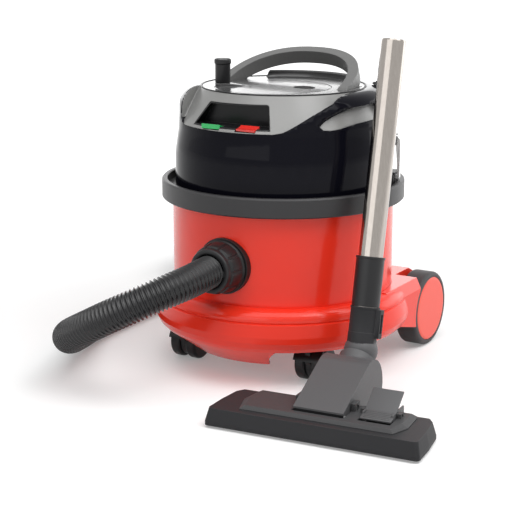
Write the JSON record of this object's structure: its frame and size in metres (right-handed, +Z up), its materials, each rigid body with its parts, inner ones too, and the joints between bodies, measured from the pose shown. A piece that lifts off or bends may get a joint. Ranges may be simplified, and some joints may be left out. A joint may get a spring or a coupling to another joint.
{
  "type": "tub vacuum cleaner",
  "caption": "Commercial tub vacuum cleaner on wheels and castors, with a lift-off motor head, a cable winder, a ribbed hose, and a floor tool with its wand section.",
  "frame": {"origin": "the point on the floor below the drum's axis", "axes": "+Z up along the drum's axis, -Y to the machine's front where the hose enters, +X to the machine's right"},
  "size_m": [0.7459, 0.9083, 0.4628],
  "materials": {
    "red_shell": "gloss",
    "red_disc": "satin",
    "ring_plastic": "satin",
    "head_plastic": "gloss",
    "winder_plastic": "gloss",
    "handle_plastic": "satin",
    "tray_plastic": "satin",
    "green_switch": "gloss",
    "red_switch": "gloss",
    "black_plastic": "satin",
    "hose_plastic": "semi-gloss",
    "tyre_rubber": "matte",
    "castor_tread": "satin",
    "steel": "satin",
    "latch_steel": "polished",
    "filter_cloth": "matte",
    "bag_fleece": "matte",
    "card": "matte",
    "foam_rubber": "matte",
    "motor_alloy": "satin",
    "motor_iron": "satin",
    "motor_rotor": "satin",
    "tool_plastic": "satin",
    "roller_plastic": "satin",
    "sole_steel": "satin",
    "brush_hair": "matte",
    "sleeve_plastic": "satin",
    "wand_steel": "polished"
  },
  "bodies": {
    "tub": {"chassis": "red_shell", "drum": "red_shell", "drum_screws": "steel", "bumper_ring": "ring_plastic", "rear_axle": "steel", "axle_clips": "steel", "filter_frame": "black_plastic", "filter_cloth": "filter_cloth", "dust_bag": "bag_fleece", "bag_collar": "card", "inlet_flange": "black_plastic", "hose_spigot": "black_plastic", "hose": "hose_plastic", "hose_coil": "hose_plastic", "hose_end_cuff": "black_plastic"},
    "wheel_left": {"wheel_hub_left": "black_plastic", "tyre_left": "tyre_rubber", "hub_disc_left": "red_disc"},
    "wheel_right": {"wheel_hub_right": "black_plastic", "tyre_right": "tyre_rubber", "hub_disc_right": "red_disc"},
    "castor_left": {"castor_fork_left": "black_plastic"},
    "castor_right": {"castor_fork_right": "black_plastic"},
    "castor_rollers_left": {"castor_wheels_left": "castor_tread", "castor_axle_left": "steel"},
    "castor_rollers_right": {"castor_wheels_right": "castor_tread", "castor_axle_right": "steel"},
    "hose_nut": {"locking_nut": "black_plastic"},
    "head": {"head_cover": "head_plastic", "head_screws": "steel", "motor_plate": "black_plastic", "motor_seal": "foam_rubber", "fan_case": "motor_alloy", "motor_stator": "motor_iron", "motor_cover": "black_plastic", "switch_tray": "tray_plastic", "top_deck": "head_plastic", "reel_bearing": "steel", "handle_pins": "steel", "cable_gland": "tray_plastic", "exhaust_grille": "head_plastic"},
    "rotor": {"motor_rotor": "motor_rotor"},
    "winder": {"cable_reel": "winder_plastic", "winder_disc": "winder_plastic"},
    "knob": {"crank_knob": "winder_plastic"},
    "switch_green": {"rocker_green": "green_switch"},
    "switch_red": {"rocker_red": "red_switch"},
    "handle": {"carry_handle": "handle_plastic"},
    "clip_left": {"latch_left": "latch_steel"},
    "clip_right": {"latch_right": "latch_steel"},
    "floor_tool": {"tool_body": "tool_plastic", "tool_cover": "tool_plastic", "sole_plate": "sole_steel"},
    "brushes": {"brush_strips": "brush_hair"},
    "foot_pedal": {"pedal": "tool_plastic"},
    "rollers": {"tool_rollers": "roller_plastic"},
    "neck": {"tool_neck": "tool_plastic"},
    "wand": {"tool_elbow": "tool_plastic", "wand_sleeve": "sleeve_plastic", "wand_tube": "wand_steel"}
  },
  "joints": [
    {"name": "wheel_left_spin", "type": "hinge", "parent": "tub", "child": "wheel_left", "pos_m": [-0.15, 0.144, 0.054], "axis": [1, 0, 0], "continuous": true},
    {"name": "wheel_right_spin", "type": "hinge", "parent": "tub", "child": "wheel_right", "pos_m": [0.15, 0.144, 0.054], "axis": [1, 0, 0], "continuous": true},
    {"name": "castor_left_swivel", "type": "hinge", "parent": "tub", "child": "castor_left", "pos_m": [-0.101, -0.104, 0.05], "axis": [0, 0, 1], "continuous": true},
    {"name": "castor_right_swivel", "type": "hinge", "parent": "tub", "child": "castor_right", "pos_m": [0.101, -0.104, 0.05], "axis": [0, 0, 1], "continuous": true},
    {"name": "castor_left_roll", "type": "hinge", "parent": "castor_left", "child": "castor_rollers_left", "pos_m": [-0.101, -0.086, 0.024], "axis": [1, 0, 0], "continuous": true},
    {"name": "castor_right_roll", "type": "hinge", "parent": "castor_right", "child": "castor_rollers_right", "pos_m": [0.101, -0.086, 0.024], "axis": [1, 0, 0], "continuous": true},
    {"name": "nut_turn", "type": "hinge", "parent": "tub", "child": "hose_nut", "pos_m": [0, -0.18, 0.162], "axis": [0, 1, 0], "range_deg": [0, 60]},
    {"name": "head_lift", "type": "slide", "parent": "tub", "child": "head", "axis": [0, 0, 1], "range_m": [0, 0.08]},
    {"name": "latch_left_turn", "type": "hinge", "parent": "head", "child": "clip_left", "pos_m": [-0.14789, 0.04805, 0.3163], "axis": [0.309, 0.9511, 0], "range_deg": [0, 105]},
    {"name": "latch_right_turn", "type": "hinge", "parent": "head", "child": "clip_right", "pos_m": [0.14789, 0.04805, 0.3163], "axis": [0.309, -0.9511, 0], "range_deg": [0, 105]},
    {"name": "motor_spin", "type": "hinge", "parent": "head", "child": "rotor", "pos_m": [0, 0, 0.29], "axis": [0, 0, 1], "continuous": true},
    {"name": "winder_spin", "type": "hinge", "parent": "head", "child": "winder", "pos_m": [-0.002, -0.025, 0.36], "axis": [0, 0, 1], "continuous": true},
    {"name": "knob_spin", "type": "hinge", "parent": "winder", "child": "knob", "pos_m": [-0.06194, -0.05919, 0.4], "axis": [0, 0, 1], "continuous": true},
    {"name": "switch_green_rock", "type": "hinge", "parent": "head", "child": "switch_green", "pos_m": [-0.0295, -0.1345, 0.3425], "axis": [1, 0, 0], "range_deg": [0, 8]},
    {"name": "switch_red_rock", "type": "hinge", "parent": "head", "child": "switch_red", "pos_m": [0.0235, -0.1345, 0.3425], "axis": [1, 0, 0], "range_deg": [-8, 0]},
    {"name": "handle_swing", "type": "hinge", "parent": "head", "child": "handle", "pos_m": [0, -0.001, 0.38], "axis": [1, 0, 0], "range_deg": [0, 67]},
    {"name": "tool_glide", "type": "slide", "parent": "tub", "child": "floor_tool", "axis": [0, -1, 0], "range_m": [0, 0.3]},
    {"name": "tool_roll", "type": "hinge", "parent": "floor_tool", "child": "rollers", "pos_m": [0.20162, -0.22635, 0.009], "axis": [0.9954, 0.0958, 0], "continuous": true},
    {"name": "pedal_press", "type": "hinge", "parent": "floor_tool", "child": "foot_pedal", "pos_m": [0.27492, -0.23638, 0.033], "axis": [-0.9954, -0.0958, 0], "range_deg": [0, 12]},
    {"name": "brush_lift", "type": "slide", "parent": "floor_tool", "child": "brushes", "axis": [0, 0, 1], "range_m": [0, 0.0051]},
    {"name": "neck_pitch", "type": "hinge", "parent": "floor_tool", "child": "neck", "pos_m": [0.20306, -0.24129, 0.033], "axis": [0.9954, 0.0958, 0], "range_deg": [0, 50]},
    {"name": "elbow_swivel", "type": "hinge", "parent": "neck", "child": "wand", "pos_m": [0.19251, -0.13179, 0.069], "axis": [-0.0755, 0.7844, 0.6157], "range_deg": [-6, 90]}
  ],
  "couplings": [
    {"joint": "latch_left_turn", "follows": "head_lift", "rad_per_m": 22.9},
    {"joint": "latch_right_turn", "follows": "head_lift", "rad_per_m": 22.9},
    {"joint": "brush_lift", "follows": "pedal_press", "m_per_rad": 0.024}
  ]
}
